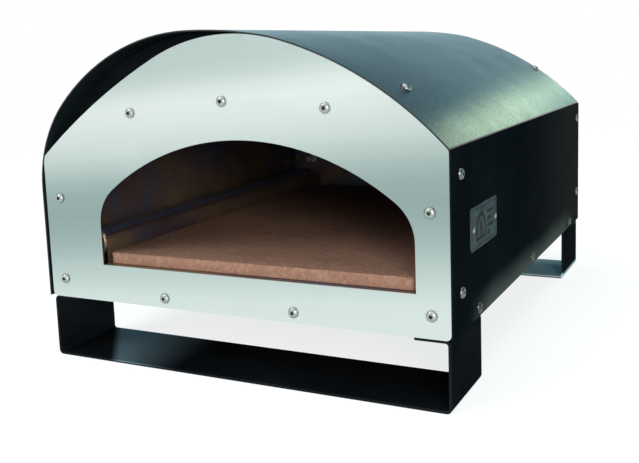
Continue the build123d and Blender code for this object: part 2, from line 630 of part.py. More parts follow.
with BuildPart() as valve_nut:
    with BuildSketch(at_y(Y_PANEL + T + 1.0)):
        with Locations((KX, KZ)):
            RegularPolygon(7.0, 6, major_radius=False)
            Circle(5.1, mode=Mode.SUBTRACT)
    extrude(amount=-4)
save(valve_nut, "valve_nut")

with BuildPart() as inlet_elbow:
    with Locations((NX, 237.5, NZ)):
        Box(18, 26, 18)
    fillet(inlet_elbow.edges().filter_by(Axis.Y), radius=2.5)
save(inlet_elbow, "inlet_elbow")

with BuildPart() as inlet_riser:
    with BuildSketch(Plane.XY.offset(NZ + 9)):
        with Locations((NX, VY0 + 10)):
            Circle(4)
            Circle(3, mode=Mode.SUBTRACT)
    extrude(amount=(KZ - 22) - (NZ + 9))
save(inlet_riser, "inlet_riser")

INLET_R = 6.58                # G1/4 outside thread
with BuildPart() as gas_inlet_nipple:
    with Locations(Location((NX, 250.5, NZ), REAR_ROT)):
        Cylinder(10, Y_PANEL - 250.5, align=(Align.CENTER, Align.CENTER, Align.MIN))
    with Locations(Location((NX, Y_PANEL, NZ), REAR_ROT)):
        Cylinder(6.2, 6.2, align=(Align.CENTER, Align.CENTER, Align.MIN))
    with Locations(Location((NX, Y_PANEL + 6.2, NZ), REAR_ROT)):
        Cylinder(INLET_R, 14, align=(Align.CENTER, Align.CENTER, Align.MIN))
    with Locations(Location((NX, 249.5, NZ), REAR_ROT)):
        Cylinder(3, 60, align=(Align.CENTER, Align.CENTER, Align.MIN), mode=Mode.SUBTRACT)
save(gas_inlet_nipple, "gas_inlet_nipple")

with BuildPart() as inlet_nut:
    with BuildSketch(at_y(Y_PANEL + T)):
        with Locations((NX, NZ)):
            RegularPolygon(9.5, 6, major_radius=False)
            Circle(6.35, mode=Mode.SUBTRACT)
    extrude(amount=-5)
save(inlet_nut, "inlet_nut")

with BuildPart() as gas_pipe:
    with BuildLine():
        FilletPolyline((KX - 22, 233.5, KZ), (BX, 233.5, KZ), (BX, 233.5, BZ + 7), radius=15)
    with BuildSketch(Plane(origin=(KX - 22, 233.5, KZ), x_dir=(0, 1, 0), z_dir=(-1, 0, 0))):
        Circle(3)
    sweep()
save(gas_pipe, "gas_pipe")

# flame-failure probe and spark electrode at the burner's rear end
with BuildPart() as igniter_insulator:
    with BuildSketch(Plane(origin=(IGN_X, 0, PROBE_Z), x_dir=(0, 1, 0), z_dir=(1, 0, 0))):
        with BuildLine():
            Polyline((191.5, 1.1), (191.5, 3), (207.5, 3.0), (207.5, 5), (210.5, 5), (210.5, 3.0), (223.5, 3.0), (223.5, 1.1), close=True)
        make_face()
    revolve(axis=Axis((IGN_X, 0, PROBE_Z), (0, 1, 0)))
save(igniter_insulator, "igniter_insulator")

with BuildPart() as igniter_pin:
    with BuildLine():
        FilletPolyline((IGN_X, 226.5, PROBE_Z), (IGN_X, 179.5, PROBE_Z), (IGN_X - 6, 173.5, PROBE_Z - 7), radius=4)
    with BuildSketch(Plane(origin=(IGN_X, 226.5, PROBE_Z), x_dir=(1, 0, 0), z_dir=(0, -1, 0))):
        Circle(1.0)
    sweep()
save(igniter_pin, "igniter_pin")

with BuildPart() as flame_probe:
    with BuildSketch(Plane(origin=(TC_X, 0, PROBE_Z), x_dir=(0, 1, 0), z_dir=(1, 0, 0))):
        with BuildLine():
            Polyline((165.5, 0), (165.5, 1.6), (167.5, 2.0), (207.5, 2.0), (207.5, 4), (210.5, 4), (210.5, 2.0), (221.5, 2.0), (221.5, 0), close=True)
        make_face()
    revolve(axis=Axis((TC_X, 0, PROBE_Z), (0, 1, 0)))
save(flame_probe, "flame_probe")

with BuildPart() as igniter_lead:
    with BuildLine():
        FilletPolyline((IGN_X, 226.5, PROBE_Z), (IGN_X, 235.5, PROBE_Z), (IGN_X + 10, 251.5, PROBE_Z + 18), (KX - 30, 251.5, KZ + 22), (KX - 8, 247.5, KZ + 26), (KX - 8, 232.5, KZ + 26), (KX - 8, 232.5, KZ + 14), radius=3)
    with BuildSketch(Plane(origin=(IGN_X, 226.5, PROBE_Z), x_dir=(1, 0, 0), z_dir=(0, 1, 0))):
        Circle(1.5)
    sweep()
save(igniter_lead, "igniter_lead")

with BuildPart() as probe_lead:
    with BuildLine():
        FilletPolyline((TC_X, 221.5, PROBE_Z), (TC_X, 235.5, PROBE_Z), (TC_X, 245.5, PROBE_Z + 20), (TC_X + 20, 251.5, PROBE_Z + 44), (KX - 20, 251.5, KZ + 34), (KX + 8, 245.5, KZ + 30), (KX + 8, 232.5, KZ + 24), (KX + 8, 232.5, KZ + 14), radius=4)
    with BuildSketch(Plane(origin=(TC_X, 221.5, PROBE_Z), x_dir=(1, 0, 0), z_dir=(0, 1, 0))):
        Circle(1.25)
    sweep()
save(probe_lead, "probe_lead")

# ------------------------------------------------------------------ fasteners
def button_screw(length):
    """An M5 button-head screw: seat at z = 0, head above, plain shank below."""
    with BuildPart() as screw:
        with BuildSketch(Plane.XZ):
            with BuildLine():
                Line((0, -length), (SCREW_R, -length))
                Line((SCREW_R, -length), (SCREW_R, 0))
                Line((SCREW_R, 0), (HEAD_R, 0))
                Line((HEAD_R, 0), (HEAD_R, 0.5))
                ThreePointArc((HEAD_R, 0.5), (3.95, 1.95), (2.4, HEAD_H))
                Polyline((2.4, HEAD_H), (0, HEAD_H), (0, -length))
            make_face()
        revolve(axis=Axis.Z)
        with BuildSketch(Plane.XY.offset(HEAD_H)):
            RegularPolygon(1.5, 6, major_radius=False)
        extrude(amount=-1.7, mode=Mode.SUBTRACT)
    return screw.part


def sleeve(outer, inner, length):
    """A plain sleeve from z = 0 down."""
    with BuildPart() as ring:
        with BuildSketch():
            Circle(outer)
            Circle(inner, mode=Mode.SUBTRACT)
        extrude(amount=-length)
    return ring.part


def hex_nut(flats, inner, length):
    with BuildPart() as nut:
        with BuildSketch():
            RegularPolygon(flats / 2, 6, major_radius=False)
            Circle(inner, mode=Mode.SUBTRACT)
        extrude(amount=-length)
    return nut.part


screw_36, screw_12, screw_10 = button_screw(36), button_screw(12), button_screw(10)
spacer, nut = sleeve(5.0, 2.6, Y_BULK - (Y_PLATE + PLATE_T)), hex_nut(8.0, 2.55, 4.0)

with BuildPart() as front_plate_screws:
    with Locations(*[Location((x, Y_PLATE, z), FRONT_ROT) for x, z in FRONT_SCREWS]):
        add(screw_36)
save(front_plate_screws, "front_plate_screws")

with BuildPart() as front_plate_spacers:
    with Locations(*[Location((x, Y_PLATE + PLATE_T, z), FRONT_ROT) for x, z in FRONT_SCREWS]):
        add(spacer)
save(front_plate_spacers, "front_plate_spacers")

with BuildPart() as front_plate_nuts:
    with Locations(*[Location((x, Y_BULK + T, z), FRONT_ROT) for x, z in FRONT_SCREWS]):
        add(nut)
save(front_plate_nuts, "front_plate_nuts")

with BuildPart() as right_side_screws:
    with Locations(*[Location((RIGHT_OUT, y, z), RIGHT_ROT) for y, z in SIDE_COLUMN + SIDE_ROW]):
        add(screw_12)
save(right_side_screws, "right_side_screws")

with BuildPart() as left_side_screws:
    with Locations(*[Location((LEFT_OUT, y, z), LEFT_ROT) for y, z in LEFT_COLUMN + SIDE_ROW]):
        add(screw_12)
save(left_side_screws, "left_side_screws")

with BuildPart() as roof_screws:
    with Locations(*[roof_spot(x, y, 0) for x in ROOF_SCREW_X for y in ROOF_SCREW_Y]):
        add(screw_10)
save(roof_screws, "roof_screws")

rivet_head, rivet_tail = sleeve(5.5, 2.55, 1.45), sleeve(3.5, 2.55, 11)
with BuildPart() as side_rivet_nuts:
    with Locations(*[Location((FLANGE_R + 1.45, y, z), RIGHT_ROT) for y, z in SIDE_COLUMN]):
        add(rivet_head)
    with Locations(*[Location((FLANGE_R, y, z), RIGHT_ROT) for y, z in SIDE_COLUMN]):
        add(rivet_tail)
    with Locations(*[Location((FLANGE_L - 1.45, y, z), LEFT_ROT) for y, z in LEFT_COLUMN]):
        add(rivet_head)
    with Locations(*[Location((FLANGE_L, y, z), LEFT_ROT) for y, z in LEFT_COLUMN]):
        add(rivet_tail)
save(side_rivet_nuts, "side_rivet_nuts")

clinch = sleeve(4.5, 2.55, 4)
with BuildPart() as base_clinch_nuts:
    with Locations(*[Location((PAN_R - T, y, z), RIGHT_ROT) for y, z in SIDE_ROW]):
        add(clinch)
    with Locations(*[Location((PAN_L + T, y, z), LEFT_ROT) for y, z in SIDE_ROW]):
        add(clinch)
save(base_clinch_nuts, "base_clinch_nuts")

with BuildPart() as roof_clinch_nuts:
    with Locations(*[roof_spot(x, y, RIM + T + 0.15) for x in ROOF_SCREW_X for y in ROOF_SCREW_Y]):
        add(clinch)
save(roof_clinch_nuts, "roof_clinch_nuts")

with BuildPart() as leg_screws:
    with Locations(*[Location((x, y, Z_BODY - LEG_T), DOWN_ROT) for x, y in LEG_BOLTS]):
        add(screw_10)
save(leg_screws, "leg_screws")

with BuildPart() as leg_nuts:
    with Locations(*[Location((x, y, Z_BODY + T), DOWN_ROT) for x, y in LEG_BOLTS]):
        add(nut)
save(leg_nuts, "leg_nuts")

with BuildPart() as rivet:
    with BuildSketch(Plane.XZ):
        with BuildLine():
            Polyline((0, -5), (1.6, -5), (1.6, 0), (2.6, 0), (2.6, 0.3))
            ThreePointArc((2.6, 0.3), (1.7, 0.86), (0.6, 1.15))
            Polyline((0.6, 1.15), (0, 1.15), (0, -5))
        make_face()
    revolve(axis=Axis.Z)
with BuildPart() as badge_rivets:
    with Locations(*[Location((RIGHT_OUT + BADGE["t"], y, z), RIGHT_ROT) for y, z in BADGE_RIVETS]):
        add(rivet.part)
save(badge_rivets, "badge_rivets")

with BuildPart() as bonnet_pin:
    with BuildSketch(Plane.XZ):
        with BuildLine():
            Polyline((0, -6), (1.5, -6), (1.5, 0), (2.7, 0), (2.7, 1.2), (2.2, 1.8), (0, 1.8), close=True)
        make_face()
    revolve(axis=Axis.Z)
with BuildPart() as bonnet_screws:
    with Locations(*[Location((KX + sx * 10.5, VY1 + 6, KZ + sz * 10.5), REAR_ROT) for sx in (-1, 1) for sz in (-1, 1)]):
        add(bonnet_pin.part)
save(bonnet_screws, "bonnet_screws")

# ------------------------------------------------------------------ summary
boxes = [p.bounding_box() for p in saved.values()]
low = [min(getattr(b.min, a) for b in boxes) for a in "XYZ"]
high = [max(getattr(b.max, a) for b in boxes) for a in "XYZ"]
print(len(saved), "pieces; low", [round(v, 3) for v in low], "high", [round(v, 3) for v in high])
print("centre", [round((a + b) / 2, 3) for a, b in zip(low, high)])
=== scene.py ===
"""Looks for the countertop pizza oven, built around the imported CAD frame. Everything is in metres."""
import bpy
import bmesh
import json
import math
from mathutils import Matrix, Vector


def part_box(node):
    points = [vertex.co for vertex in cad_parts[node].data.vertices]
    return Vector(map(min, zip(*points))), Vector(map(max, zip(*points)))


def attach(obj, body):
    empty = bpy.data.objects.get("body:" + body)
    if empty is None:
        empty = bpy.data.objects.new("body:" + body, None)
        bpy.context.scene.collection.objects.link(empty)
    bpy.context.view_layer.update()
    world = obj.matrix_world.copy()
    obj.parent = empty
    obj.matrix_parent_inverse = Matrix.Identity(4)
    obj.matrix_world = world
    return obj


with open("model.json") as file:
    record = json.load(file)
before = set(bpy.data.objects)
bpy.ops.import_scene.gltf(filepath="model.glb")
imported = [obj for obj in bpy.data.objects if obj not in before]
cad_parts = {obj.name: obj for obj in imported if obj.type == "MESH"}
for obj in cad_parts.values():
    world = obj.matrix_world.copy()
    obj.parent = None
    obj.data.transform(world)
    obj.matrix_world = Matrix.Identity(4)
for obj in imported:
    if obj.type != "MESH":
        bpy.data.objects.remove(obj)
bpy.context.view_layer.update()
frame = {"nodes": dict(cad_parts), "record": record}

nodes = frame["nodes"]
scene = bpy.context.scene
scene.view_settings.view_transform = "Standard"
scene.view_settings.look = "None"

# ------------------------------------------------------------------ camera, at the photograph's viewing angle
plate_low, plate_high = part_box("front_plate")
MID_X = (plate_low.x + plate_high.x) / 2          # the plate's centreline
FRONT_Y = plate_low.y                             # the plate's front face
BODY_Z = plate_low.z                              # underside of the casing

cam_data = bpy.data.cameras.new("camera")
cam = bpy.data.objects.new("camera", cam_data)
scene.collection.objects.link(cam)
yaw, pitch, roll = math.radians(28.44), math.radians(8.0), math.radians(-2.4)
ahead = Vector((-math.sin(yaw) * math.cos(pitch), math.cos(yaw) * math.cos(pitch), -math.sin(pitch)))
level = Vector((math.cos(yaw), math.sin(yaw), 0))
up = level.cross(ahead)
right_axis = level * math.cos(roll) + up * math.sin(roll)
up_axis = up * math.cos(roll) - level * math.sin(roll)
turn = Matrix((right_axis, up_axis, -ahead)).transposed()
cam.matrix_world = Matrix.Translation((MID_X + 0.4017, FRONT_Y - 0.6381, BODY_Z + 0.2230)) @ turn.to_4x4()
cam_data.sensor_fit = "HORIZONTAL"
cam_data.sensor_width = 36.0
cam_data.lens = 890.6 / 639 * 36.0
cam_data.shift_x = (319.5 - 280.0) / 639
cam_data.shift_y = -(231.5 - 180.0) / 639
cam_data.clip_start, cam_data.clip_end = 0.02, 60.0
scene.camera = cam


# ------------------------------------------------------------------ material helpers
class Mat:
    """A node material being built: node() adds a node, put() joins sockets or sets a value."""

    def __init__(self, name):
        self.m = bpy.data.materials.new(name)
        self.m.use_nodes = True
        self.t = self.m.node_tree
        self.t.nodes.clear()
        self.out = self.t.nodes.new("ShaderNodeOutputMaterial")
        self.bsdf = self.t.nodes.new("ShaderNodeBsdfPrincipled")
        self.t.links.new(self.bsdf.outputs[0], self.out.inputs[0])
        self.coord = self.node("ShaderNodeTexCoord").outputs["Object"]

    def node(self, kind, ins=None, **props):
        n = self.t.nodes.new(kind)
        for k, v in props.items():
            setattr(n, k, v)
        for k, v in (ins or {}).items():
            self.put(n.inputs[k], v)
        return n

    def put(self, socket, v):
        if isinstance(v, bpy.types.NodeSocket):
            self.t.links.new(v, socket)
        elif hasattr(socket.default_value, "__len__") and len(socket.default_value) == 4 and len(v) == 3:
            socket.default_value = (*v, 1)
        else:
            socket.default_value = v

    def set(self, **ins):
        names = {
            "color": "Base Color", "rough": "Roughness", "metal": "Metallic", "ior": "IOR", "spec": "Specular IOR Level",
            "normal": "Normal", "aniso": "Anisotropic", "tangent": "Tangent", "coat": "Coat Weight",
            "coat_rough": "Coat Roughness", "sheen": "Sheen Weight", "sheen_rough": "Sheen Roughness",
            "sub": "Subsurface Weight", "glow": "Emission Color", "glow_power": "Emission Strength",
        }
        for k, v in ins.items():
            self.put(self.bsdf.inputs[names[k]], v)
        return self

    # texture building blocks, all in object space, so in metres
    def stretch(self, scale, offset=(0, 0, 0), rotate=(0, 0, 0)):
        return self.node("ShaderNodeMapping", {"Vector": self.coord, "Location": offset, "Rotation": rotate, "Scale": scale}).outputs[0]

    def noise(self, scale, detail=3.0, rough=0.5, vector=None, distort=0.0):
        return self.node("ShaderNodeTexNoise", {"Vector": vector or self.coord, "Scale": scale, "Detail": detail, "Roughness": rough, "Distortion": distort}).outputs[0]

    def cells(self, scale, vector=None, feature="F1", out="Distance", random=1.0):
        return self.node("ShaderNodeTexVoronoi", {"Vector": vector or self.coord, "Scale": scale, "Randomness": random}, feature=feature).outputs[out]

    def remap(self, value, a, b, c, d, smooth=False):
        n = self.node("ShaderNodeMapRange", {0: value, 1: a, 2: b, 3: c, 4: d})
        n.interpolation_type = "SMOOTHSTEP" if smooth else "LINEAR"
        n.clamp = True
        return n.outputs[0]

    def mix(self, factor, a, b, blend="MIX"):
        n = self.node("ShaderNodeMix", data_type="RGBA", blend_type=blend, clamp_factor=True)
        self.put(n.inputs[0], factor)
        self.put(n.inputs[6], a)
        self.put(n.inputs[7], b)
        return n.outputs[2]

    def math(self, op, a, b=0.0, c=0.0, clamp=False):
        n = self.node("ShaderNodeMath", operation=op, use_clamp=clamp)
        self.put(n.inputs[0], a)
        self.put(n.inputs[1], b)
        if op in ("MULTIPLY_ADD", "SMOOTH_MIN", "SMOOTH_MAX", "COMPARE"):
            self.put(n.inputs[2], c)
        return n.outputs[0]

    def axis(self, i):
        return self.node("ShaderNodeSeparateXYZ", {0: self.coord}).outputs[i]

    def bump(self, height, strength, distance, normal=None):
        n = self.node("ShaderNodeBump", {"Height": height, "Strength": strength, "Distance": distance})
        if normal is not None:
            self.put(n.inputs["Normal"], normal)
        return n.outputs[0]

    def ramp(self, value, stops, interpolation="LINEAR"):
        n = self.node("ShaderNodeValToRGB", {0: value})
        r = n.color_ramp
        r.interpolation = interpolation
        while len(r.elements) < len(stops):
            r.elements.new(0.5)
        for e, (p, c) in zip(r.elements, stops):
            e.position = p
            e.color = (*c, 1)
        return n.outputs[0]


def brushed_steel():
    """The front plate: horizontally brushed stainless, with painted light and shade: soft light and dark bands
    painted into its colour along the height.
    """
    m = Mat("brushed_plate")
    fine = m.noise(1.0, 2.0, 0.55, m.stretch((9, 9, 3600)))
    coarse = m.noise(1.0, 2.0, 0.5, m.stretch((3, 3, 900), (3.1, 0, 1.7)))
    streak = m.math("ADD", m.math("MULTIPLY", fine, 0.6), m.math("MULTIPLY", coarse, 0.4))
    # painted light and shade: soft light and dark bands along the height, a little higher on the right, painted into
    # the base colour
    wander = m.noise(2.2, 1.0, 0.4, m.stretch((1, 1, 0.35)))
    z = m.math("ADD", m.axis(2), m.math("MULTIPLY", wander, 0.008))
    z = m.math("SUBTRACT", z, m.math("MULTIPLY", m.axis(0), 0.083))
    t = m.remap(z, BODY_Z - 0.006, BODY_Z + 0.254, 0, 1)
    painted_band_levels = [(0, 0.76), (15, 0.73), (30, 0.65), (45, 0.58), (56, 0.515), (68, 0.456), (80, 0.42), (94, 0.40), (112, 0.43), (126, 0.505),
              (138, 0.60), (150, 0.69), (162, 0.75), (176, 0.80), (188, 0.83), (198, 0.78), (210, 0.66), (222, 0.61), (240, 0.60)]
    tone = m.ramp(t, [((h + 10) / 260, (0.94 * g * (0.755 + 0.36 * (g - 0.40)), 0.94 * g, 0.94 * g * 0.955)) for h, g in painted_band_levels], "LINEAR")
    tone = m.mix(1.0, tone, m.ramp(streak, [(0.30, (0.962, 0.962, 0.962)), (0.50, (0.99, 0.99, 0.99)), (0.70, (1, 1, 1))]), "MULTIPLY")
    # faint handling marks
    smear = m.remap(m.noise(9.0, 4.0, 0.6, m.stretch((1, 1, 1.6), (0.3, 0, 0.2)), 1.2), 0.56, 0.75, 0, 1, True)
    tone = m.mix(m.math("MULTIPLY", smear, 0.10), tone, (0.60, 0.66, 0.62))
    rough = m.math("ADD", m.remap(streak, 0.3, 0.7, 0.28, 0.34), m.math("MULTIPLY", smear, 0.07))
    up_z = m.node("ShaderNodeCombineXYZ", {0: 0.0, 1: 0.0, 2: 1.0}).outputs[0]
    m.set(color=tone, rough=rough, metal=1.0, aniso=0.55, tangent=up_z, normal=m.bump(fine, 0.05, 0.00008))
    return m.m


def powder(name, tint, rough0, spec, grain=1.0, dust=0.10, metal=0.0, edge=1.0, painted_reflections=()):
    """Black powder coat: fine orange-peel grain, faint cloudy gloss, sparse light specks, a little dust, and
    optional painted reflections as paler patches.
    """
    m = Mat(name)
    peel = m.noise(900.0, 2.0, 0.6)
    sand = m.noise(640.0, 3.0, 0.75)
    height = m.math("MULTIPLY_ADD", sand, 0.5, m.math("MULTIPLY", peel, 0.7))
    cloud = m.noise(7.0, 4.0, 0.6)
    speck = m.remap(m.cells(420.0), 0.05, 0.11, 1, 0)
    speck = m.math("MULTIPLY", speck, m.remap(m.noise(60.0, 2.0), 0.52, 0.62, 0, 1))
    tone = m.mix(m.remap(cloud, 0.35, 0.7, 0, 1), tint, tuple(v * 1.7 for v in tint))
    tone = m.mix(m.math("MULTIPLY", speck, 0.35), tone, (0.10, 0.115, 0.115))
    haze = m.remap(m.noise(16.0, 5.0, 0.65, m.stretch((1, 1, 1), (4, 2, 1))), 0.5, 0.8, 0, 1, True)
    tone = m.mix(m.math("MULTIPLY", haze, dust), tone, (0.13, 0.135, 0.13))
    for painted_reflection_tint, much, *limits in painted_reflections:
        # painted reflection: a paler, slightly blue patch painted into the colour, fading out along the axes given;
        # (i, j, k) is axis i plus k times axis j
        drift, where = m.noise(8.0, 3.0), None
        for axis, start, end in limits:
            wobble = min(0.02, 0.6 * abs(end - start))
            along = m.axis(axis) if isinstance(axis, int) else m.math("MULTIPLY_ADD", m.axis(axis[1]), axis[2], m.axis(axis[0]))
            edge_at = m.math("MULTIPLY_ADD", m.math("SUBTRACT", drift, 0.5), wobble, along)
            fade = m.remap(edge_at, start, end, 0, 1, True)
            where = fade if where is None else m.math("MULTIPLY", where, fade)
        tone = m.mix(m.math("MULTIPLY", where, much), tone, painted_reflection_tint)
    rough = m.math("ADD", m.remap(cloud, 0.3, 0.7, rough0 - 0.03, rough0 + 0.05), m.math("MULTIPLY", m.remap(peel, 0.35, 0.65, 0, 1), 0.05))
    m.set(color=tone, rough=rough, spec=spec, normal=m.bump(height, 0.22 * grain, 0.00035))
    m.bsdf.inputs["Metallic"].default_value = metal
    m.bsdf.inputs["Specular Tint"].default_value = (edge, edge, edge, 1)
    return m.m


def screw_steel(name, light, dark, low=None):
    """Turned stainless with a little random grime, and painted shade: near black in the socket and round the foot of
    the head, where ambient occlusion finds a recess.
    """
    m = Mat(name)
    scratch = m.noise(1.0, 2.0, 0.6, m.stretch((2500, 2500, 900)))
    grime = m.noise(260.0, 3.0, 0.6)
    # painted shade: ambient occlusion darkens the socket and the foot of the head toward near black, with a little
    # grime mixed in
    recess_shade = m.node("ShaderNodeAmbientOcclusion", {"Distance": 0.0022}, samples=8).outputs["AO"]
    lit_and_clean = m.remap(m.math("MULTIPLY_ADD", grime, 0.25, recess_shade), 0.55, 1.02, 0, 1, True)
    tone = m.mix(m.remap(grime, 0.45, 0.72, 0, 0.5), light, dark)
    if low:
        # painted shade: darker on the heads near the worktop
        tone = m.mix(m.remap(m.axis(2), low + 0.004, low, 0, 0.65, True), tone, (0.035, 0.038, 0.038))
    tone = m.mix(lit_and_clean, (0.010, 0.011, 0.011), tone)
    m.set(color=tone, rough=m.remap(scratch, 0.3, 0.7, 0.30, 0.40), metal=1.0, normal=m.bump(scratch, 0.04, 0.00004))
    return m.m


def zinc():
    m = Mat("zinc_nuts")
    grains = m.cells(520.0, out="Color")
    tone = m.mix(0.25, (0.60, 0.61, 0.57), grains, "SOFT_LIGHT")
    tarnish = m.remap(m.noise(120.0, 4.0, 0.65), 0.5, 0.75, 0, 0.5)
    tone = m.mix(tarnish, tone, (0.40, 0.36, 0.26))
    m.set(color=tone, rough=m.remap(m.noise(300.0), 0.3, 0.7, 0.3, 0.48), metal=1.0, normal=m.bump(m.noise(1800.0), 0.12, 0.0001))
    return m.m


def heat_steel():
    """Stainless that has been through many firings: straw and blue tints, soot higher up."""
    m = Mat("heat_steel")
    grain = m.noise(1.0, 2.0, 0.5, m.stretch((30, 6, 1800)))
    heat = m.noise(6.5, 4.0, 0.6, None, 0.6)
    tint = m.ramp(heat, [(0.25, (0.40, 0.34, 0.26)), (0.42, (0.36, 0.25, 0.16)), (0.52, (0.24, 0.18, 0.20)), (0.62, (0.16, 0.20, 0.30)), (0.78, (0.32, 0.30, 0.26))])
    soot = m.noise(11.0, 5.0, 0.65, m.stretch((1, 0.6, 1), (2, 1, 5)))
    high = m.remap(m.axis(2), BODY_Z + 0.03, BODY_Z + 0.16, 0.22, 0.78)
    soot = m.math("MULTIPLY", m.remap(soot, 0.25, 0.65, 0.35, 1, True), high)
    tone = m.mix(soot, tint, (0.024, 0.022, 0.021))
    m.set(color=tone, rough=m.math("ADD", m.remap(grain, 0.3, 0.7, 0.38, 0.5), m.math("MULTIPLY", soot, 0.25)), metal=m.remap(soot, 0.2, 0.9, 0.9, 0.15), normal=m.bump(grain, 0.12, 0.0002))
    return m.m


def baking_stone():
    """Cordierite: pressed grains and pits, pale on the front edge, toasted and darker towards the back and the burner."""
    m = Mat("baking_stone")
    low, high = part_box("pizza_stone")
    grains = m.noise(520.0, 4.0, 0.7)
    blotch = m.noise(24.0, 5.0, 0.62)
    bits = m.node("ShaderNodeSeparateColor", {0: m.cells(330.0, out="Color")}).outputs[0]
    pits = m.remap(m.cells(240.0), 0.10, 0.24, 1, 0, True)
    pits = m.math("MULTIPLY", pits, m.remap(m.noise(70.0, 2.0), 0.48, 0.60, 0, 1))
    tone = m.mix(m.remap(blotch, 0.3, 0.72, 0, 1), (0.26, 0.138, 0.092), (0.185, 0.098, 0.068))
    tone = m.mix(m.remap(grains, 0.35, 0.7, 0, 0.55), tone, (0.33, 0.195, 0.140))
    tone = m.mix(m.remap(bits, 0.55, 1.0, 0, 0.35), tone, (0.40, 0.26, 0.195))
    tone = m.mix(m.remap(bits, 0.0, 0.14, 0.4, 0), tone, (0.20, 0.11, 0.08))
    tone = m.mix(m.math("MULTIPLY", pits, 0.6), tone, (0.12, 0.06, 0.04))
    back = m.remap(m.math("ADD", m.axis(1), m.math("MULTIPLY", m.noise(9.0, 3.0), 0.08)), low.y + 0.10, high.y + 0.05, 0, 0.70, True)
    left = m.remap(m.axis(0), low.x, low.x + 0.09, 0.42, 0, True)
    burnt = m.math("MAXIMUM", back, m.math("MULTIPLY", left, m.remap(blotch, 0.3, 0.7, 0.5, 1.0)))
    top = m.remap(m.axis(2), high.z - 0.0012, high.z - 0.0002, 0, 1)
    tone = m.mix(m.math("MULTIPLY", burnt, top), tone, (0.075, 0.042, 0.030))
    scorch = m.remap(m.noise(38.0, 5.0, 0.7, m.stretch((1, 1, 1), (7, 3, 2)), 0.4), 0.60, 0.74, 0, 1, True)
    tone = m.mix(m.math("MULTIPLY", m.math("MULTIPLY", scorch, top), 0.5), tone, (0.055, 0.03, 0.02))
    height = m.math("SUBTRACT", m.math("MULTIPLY", grains, 0.5), pits)
    m.set(color=tone, rough=m.remap(grains, 0.3, 0.7, 0.78, 0.95), spec=0.25, normal=m.bump(height, 0.5, 0.0006))
    return m.m


def mineral_wool():
    m = Mat("mineral_wool")
    fibres = m.noise(1.0, 5.0, 0.75, m.stretch((900, 260, 900)), 1.5)
    clumps = m.noise(45.0, 4.0, 0.6)
    tone = m.mix(m.remap(fibres, 0.35, 0.68, 0, 1), (0.56, 0.53, 0.45), (0.84, 0.82, 0.75))
    tone = m.mix(m.remap(clumps, 0.4, 0.75, 0, 0.4), tone, (0.60, 0.54, 0.40))
    m.set(color=tone, rough=0.95, sheen=0.3, normal=m.bump(m.math("ADD", fibres, clumps), 0.8, 0.0015))
    return m.m


def burner_steel():
    """Steel tube, blued and browned along the flame slots."""
    m = Mat("burner_steel")
    low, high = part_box("burner_tube")
    grain = m.noise(1.0, 3.0, 0.6, m.stretch((900, 60, 900)))
    top = m.remap(m.math("ADD", m.axis(2), m.math("MULTIPLY", m.noise(60.0, 3.0), 0.004)), low.z + 0.008, high.z + 0.002, 0, 1)
    heat = m.ramp(top, [(0.1, (0.40, 0.38, 0.35)), (0.45, (0.42, 0.30, 0.17)), (0.66, (0.26, 0.14, 0.12)), (0.82, (0.17, 0.21, 0.36)), (1.0, (0.20, 0.18, 0.17))])
    rust = m.remap(m.noise(140.0, 5.0, 0.7), 0.56, 0.70, 0, 1, True)
    tone = m.mix(m.math("MULTIPLY", rust, 0.45), heat, (0.16, 0.06, 0.025))
    m.set(color=tone, rough=m.math("ADD", m.remap(grain, 0.3, 0.7, 0.34, 0.5), m.math("MULTIPLY", rust, 0.3)), metal=0.9, normal=m.bump(grain, 0.15, 0.0002))
    return m.m


def brass():
    m = Mat("valve_brass")
    turned = m.noise(1.0, 2.0, 0.5, m.stretch((500, 3500, 500)))
    tarnish = m.noise(75.0, 5.0, 0.65)
    tone = m.mix(m.remap(tarnish, 0.42, 0.72, 0, 0.8), (0.80, 0.58, 0.27), (0.38, 0.22, 0.09))
    m.set(color=tone, rough=m.remap(tarnish, 0.3, 0.7, 0.22, 0.42), metal=1.0, normal=m.bump(turned, 0.10, 0.0001))
    return m.m


def plain_steel():
    m = Mat("stem_steel")
    rings = m.noise(1.0, 2.0, 0.5, m.stretch((2600, 60, 2600)))
    tone = m.mix(m.remap(m.noise(90.0, 3.0), 0.4, 0.75, 0, 0.5), (0.63, 0.64, 0.63), (0.45, 0.45, 0.43))
    m.set(color=tone, rough=m.remap(rings, 0.3, 0.7, 0.22, 0.38), metal=1.0, normal=m.bump(rings, 0.12, 0.0001))
    return m.m


def pipe_aluminium():
    m = Mat("pipe_aluminium")
    draw = m.noise(1.0, 2.0, 0.5, m.stretch((300, 1800, 1800)))
    tone = m.mix(m.remap(m.noise(110.0, 4.0), 0.45, 0.75, 0, 0.6), (0.72, 0.73, 0.74), (0.48, 0.48, 0.47))
    m.set(color=tone, rough=m.remap(draw, 0.3, 0.7, 0.25, 0.4), metal=1.0, normal=m.bump(draw, 0.12, 0.0001))
    return m.m


def badge_metal():
    """Grey brushed aluminium with darker patches of dirt."""
    m = Mat("badge_metal")
    brush = m.noise(1.0, 3.0, 0.6, m.stretch((40, 30, 3000)))
    tone = m.mix(m.remap(brush, 0.3, 0.7, 0, 1), (0.070, 0.100, 0.106), (0.130, 0.172, 0.180))
    tone = m.mix(m.remap(m.noise(50.0, 4.0), 0.48, 0.72, 0, 0.5), tone, (0.035, 0.050, 0.052))
    m.set(color=tone, rough=m.remap(brush, 0.3, 0.7, 0.36, 0.52), metal=0.7, spec=0.0, normal=m.bump(brush, 0.2, 0.0001))
    m.bsdf.inputs["Specular Tint"].default_value = (0.12, 0.12, 0.12, 1)
    return m.m


